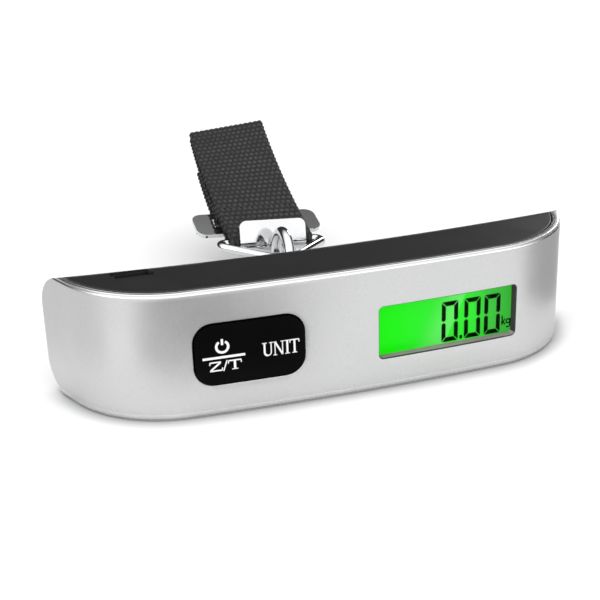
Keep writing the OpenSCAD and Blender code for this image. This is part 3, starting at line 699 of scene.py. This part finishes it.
UNIT = [
    ([(3.42, 1.4), (3.42, -0.95)] + arc(4.2, -0.98, 0.78, 180, 270, 8)[1:], 0.46),
    (arc(4.2, -0.98, 0.82, 270, 360, 8) + [(5.02, 1.4)], 0.26),
    ([(5.95, 1.4), (5.95, -1.9)], 0.24), ([(5.98, 1.45), (7.78, -1.95)], 0.44),
    ([(7.8, 1.4), (7.8, -1.95)], 0.24), ([(8.95, 1.4), (8.95, -1.9)], 0.48),
    ([(10.72, 1.3), (10.72, -1.9)], 0.48), ([(9.65, 1.4), (11.8, 1.4)], 0.3),
    ([(9.7, 1.5), (9.6, 0.7)], 0.24), ([(11.75, 1.5), (11.85, 0.7)], 0.24)]
# level serifs: middle (x, z) and length
SERIFS = [(-3.85, -3.95, 1.5), (3.42, 1.42, 1.15), (5.02, 1.42, 0.9), (5.95, 1.42, 0.75), (7.8, 1.42, 0.9),
          (5.95, -1.9, 0.9), (8.95, 1.42, 1.2), (8.95, -1.9, 1.2), (10.72, -1.9, 1.2)]
SERIF_W = 0.2


def legends():
    """Raised print on the key: power sign, zero/tare and unit legends."""
    bm = bmesh.new()
    serifs = [([(x - w / 2, z), (x + w / 2, z)], SERIF_W) for x, z, w in SERIFS]
    for pts, w in POWER_SIGN + BAR + ZERO_TARE + UNIT + serifs:
        stroke(bm, KEYF, pts, w, *PRINT)
    bmesh.ops.recalc_face_normals(bm, faces=bm.faces)
    new_object("key_legends", bm, [M_WHITE], "key", 30)


digits()
legends()

# lit panel: green, uneven from left to right, with a painted reflection: a slanted lighter band with one
# sharp edge, in both its colour and its glow
m = Mat("lcd_glass", (0.02, 0.6, 0.02), 0.35, Specular_IOR_Level=0.05)
to_panel = (DISP @ Matrix.Scale(1 / MM, 4)).inverted()
on_panel = m.node("ShaderNodeMapping", {"vector_type": "POINT"}, Vector=m.co,
                  Location=to_panel.translation, Rotation=to_panel.to_euler())
sep = m.node("ShaderNodeSeparateXYZ", Vector=on_panel.outputs[0])
px, pz = sep.outputs[0], sep.outputs[2]
green = m.mix(m.ramp(px, -0.016, 0.0), (0.010, 0.86, 0.004), (0.030, 0.80, 0.030))
green = m.mix(m.ramp(px, 0.006, 0.016), green, (0.045, 0.48, 0.045))
# painted reflection: a lighter slanted band across the screen, sharp on one side and fading on the other
slant = m.math("SUBTRACT", px, m.math("MULTIPLY", pz, 0.458))
edge = m.math("SUBTRACT", 1.0, m.ramp(slant, 0.00385, 0.0041))
fade = m.ramp(slant, -0.006, 0.004)
green = m.mix(m.math("MULTIPLY", m.math("MULTIPLY", edge, fade), 0.30), green, (0.36, 0.85, 0.36))
m.put(m.p, "Base Color", m.mix(0.75, green, (0.0, 0.0, 0.0)))
m.put(m.p, "Emission Color", green)
m.put(m.p, "Emission Strength", 0.78)
for node in ("display_panel", "display_backlight"):
    dress(node, m.m)

# clear window: thin gloss over what lies behind it
m = Mat("clear_pane")
clear = m.node("ShaderNodeBsdfTransparent")
gloss = m.node("ShaderNodeBsdfGlossy", Roughness=0.05)
facing = m.node("ShaderNodeFresnel", IOR=1.09)
both = m.node("ShaderNodeMixShader", i0=facing.outputs[0], i1=clear.outputs[0], i2=gloss.outputs[0])
out = next(n for n in m.nt.nodes if n.type == "OUTPUT_MATERIAL")
m.put(out, "Surface", both.outputs[0])
dress("display_window", m.m)


# ---------------------------------------------------------------- lights and floor
def softbox(name, loc, target, size_x, size_y, power):
    """Rectangular area light at loc, turned to the target."""
    d = bpy.data.lights.new(name, "AREA")
    d.shape, d.size, d.size_y, d.energy = "RECTANGLE", size_x, size_y, power
    o = bpy.data.objects.new(name, d)
    scene.collection.objects.link(o)
    o.location = loc
    o.rotation_euler = (Vector(target) - Vector(loc)).to_track_quat("-Z", "Y").to_euler()


softbox("softbox_left", (-1.0, -0.25, 0.45), (0, 0, 0.02), 0.45, 0.6, 0.8)
softbox("softbox_back_right", (0.88, 0.90, 0.50), (0.05, 0, 0.03), 0.36, 0.36, 2.7)

# studio surroundings: wide bright ceiling that leans to the front, dim walls
BRIGHTEST = Vector((-0.1, -0.5, 0.86)).normalized()
world = bpy.data.worlds.new("world")
scene.world = world
world.use_nodes = True
wt = world.node_tree
around = wt.nodes.new("ShaderNodeTexCoord").outputs["Generated"]
near_top = wt.nodes.new("ShaderNodeVectorMath")
near_top.operation = "DOT_PRODUCT"
wt.links.new(around, near_top.inputs[0])
near_top.inputs[1].default_value = BRIGHTEST
level = wt.nodes.new("ShaderNodeMapRange")
level.interpolation_type = "SMOOTHSTEP"
for i, v in zip((1, 2, 3, 4), (0.09, 0.70, 0.05, 1.64)):
    level.inputs[i].default_value = v
wt.links.new(near_top.outputs["Value"], level.inputs[0])
sky = wt.nodes["Background"]
sky.inputs[0].default_value = (1.0, 1.0, 1.0, 1)
wt.links.new(level.outputs[0], sky.inputs[1])


def flag(name, corners, shade):
    """Grey card that only reflections see, to model the metal's tones as a studio flag does."""
    bm = bmesh.new()
    bm.faces.new([bm.verts.new(c) for c in corners])
    m = Mat("card_" + name, (0, 0, 0), 1.0, Specular_IOR_Level=0.0)
    m.put(m.p, "Emission Color", (shade, shade, shade, 1))
    m.put(m.p, "Emission Strength", 1.0)
    o = new_object("flag_" + name, bm, [m.m], None)
    o.visible_camera = o.visible_diffuse = o.visible_shadow = o.visible_transmission = False


# the cards lie just above the floor; each is a name, its corners (x, y) and height, and its grey
for name, height, corners, shade in (
        ("front", 0.001, [(-0.09, -0.038), (-0.005, -0.038), (0.06, -0.6), (-0.2, -0.6)], 0.48),
        ("left", 0.001, [(-0.09, -0.02), (-0.09, 0.1), (-0.5, 0.3), (-0.5, -0.1)], 0.95),
        ("band", 0.0012, [(-0.085, -0.010), (-0.078, -0.034), (-0.42, -0.36), (-0.5, -0.10)], 1.25),
        ("right", 0.001, [(0.085, -0.035), (0.5, -0.2), (0.5, 0.4), (0.085, 0.02)], 0.55)):
    flag(name, [(x, y, height) for x, y in corners], shade)

# white paper floor, with a painted contact shadow: darker close to what stands on it
bm = bmesh.new()
bmesh.ops.create_grid(bm, x_segments=8, y_segments=8, size=4)
m = Mat("floor_white", (0.9, 0.9, 0.9), 0.7)
paper = m.mix(m.noise(40.0), (0.93, 0.93, 0.93), (0.94, 0.94, 0.94))
# painted shadow: ambient occlusion darkens the floor's colour next to the object
painted_contact_shadow = m.node("ShaderNodeAmbientOcclusion", {"samples": 8}, Distance=0.006).outputs["AO"]
m.put(m.p, "Base Color", m.mix(m.ramp(painted_contact_shadow, 0.45, 0.98), (0.44, 0.44, 0.44), paper))
new_object("floor", bm, [m.m], None)
